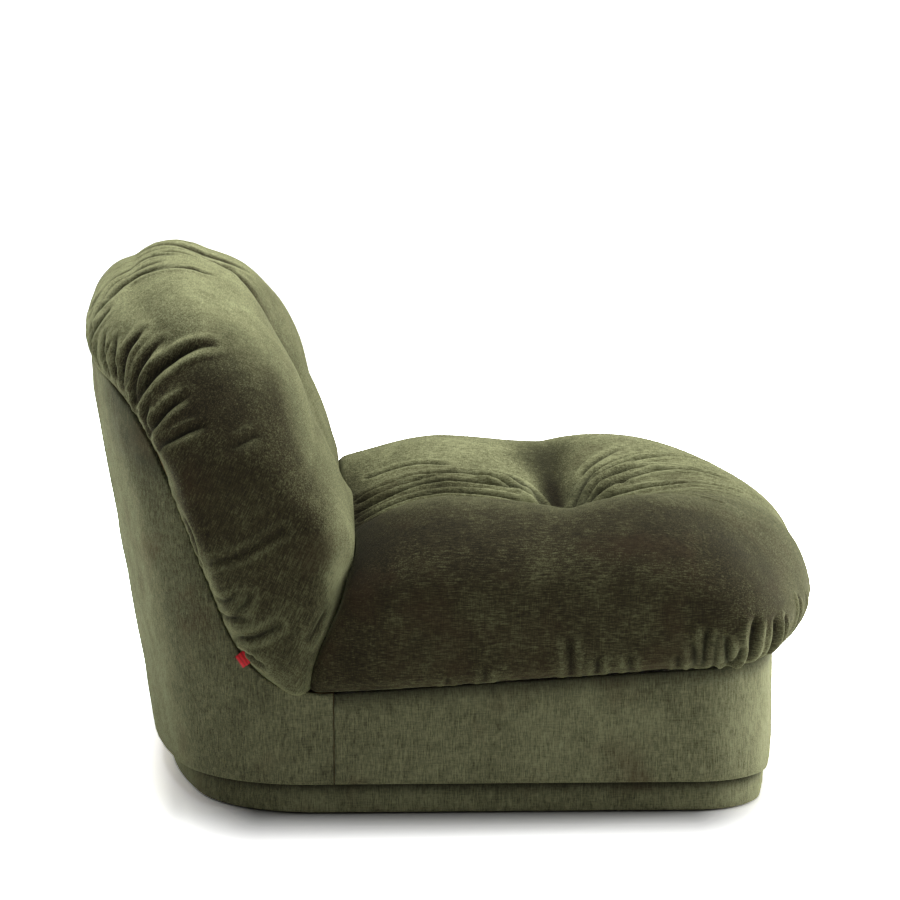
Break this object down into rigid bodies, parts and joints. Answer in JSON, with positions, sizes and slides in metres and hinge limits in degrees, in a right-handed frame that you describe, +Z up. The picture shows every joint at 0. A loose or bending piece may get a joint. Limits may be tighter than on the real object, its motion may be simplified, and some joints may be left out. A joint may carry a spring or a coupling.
{
  "type": "lounge chair",
  "caption": "Armless lounge chair with a deep seat cushion and a leaning back cushion, each drawn in by one tuft, on an upholstered base and a recessed plinth.",
  "frame": {"origin": "on the floor, under the middle of the chair's bounding box", "axes": "+X to the sitter's left, +Y to the chair's back, +Z up; the sitter faces -Y. Left and right in the names are as seen from in front, so left is -X"},
  "size_m": [0.86, 0.9834, 0.7096],
  "materials": {
    "glide": "smooth black nylon",
    "screw_steel": "zinc plated",
    "spring_steel": "oiled spring wire",
    "clip_plastic": "moulded",
    "plywood": "sanded, unfinished",
    "softwood": "planed, unfinished",
    "green_chenille": "soft cut pile with a slubby weave",
    "bent_board": "thin bent fibreboard, unfinished",
    "felt": "needled felt",
    "black_lining": "thin non-woven lining",
    "foam": null,
    "fibre": null,
    "twine": "twisted cord",
    "webbing": "woven elastic",
    "anchor_plastic": "moulded",
    "red_tab": "woven tape, bare"
  },
  "bodies": {
    "root": {"glide_front_left": "glide", "glide_front_right": "glide", "glide_rear_left": "glide", "glide_rear_right": "glide", "glide_screws": "screw_steel", "plinth_screws": "screw_steel", "back_bolts": "screw_steel", "bolt_washers": "screw_steel", "barrel_nuts": "screw_steel", "seat_springs": "spring_steel", "spring_clips": "clip_plastic", "plinth_lower_ring": "plywood", "plinth_upper_ring": "plywood", "base_ring": "plywood", "seat_top_ring": "plywood", "left_upright": "plywood", "right_upright": "plywood", "back_rib_lower": "plywood", "back_rib_middle": "plywood", "back_rib_upper": "plywood", "front_rail": "softwood", "left_rail": "softwood", "right_rail": "softwood", "front_left_post": "softwood", "front_right_post": "softwood", "rear_left_post": "softwood", "rear_right_post": "softwood", "spring_rail": "softwood", "rear_rail": "softwood", "centre_rail": "softwood", "back_top_rail": "softwood", "seat_cover": "green_chenille", "back_cover": "green_chenille", "back_shell_cover": "green_chenille", "front_band_cover": "green_chenille", "plinth_cover": "green_chenille", "front_band_facing": "bent_board", "back_shell_facing": "bent_board", "plinth_padding": "felt", "front_band_padding": "felt", "back_shell_padding": "felt", "deck_pad": "felt", "dust_cover": "black_lining", "deck_cloth": "black_lining", "seat_foam_core": "foam", "back_foam_core": "foam", "seat_fibre_filling": "fibre", "back_fibre_filling": "fibre", "seat_tuft_twine": "twine", "back_tuft_twine": "twine", "back_webbing": "webbing", "seat_tuft_anchor": "anchor_plastic", "back_tuft_anchor": "anchor_plastic", "label_tab": "red_tab"}
  },
  "joints": []
}
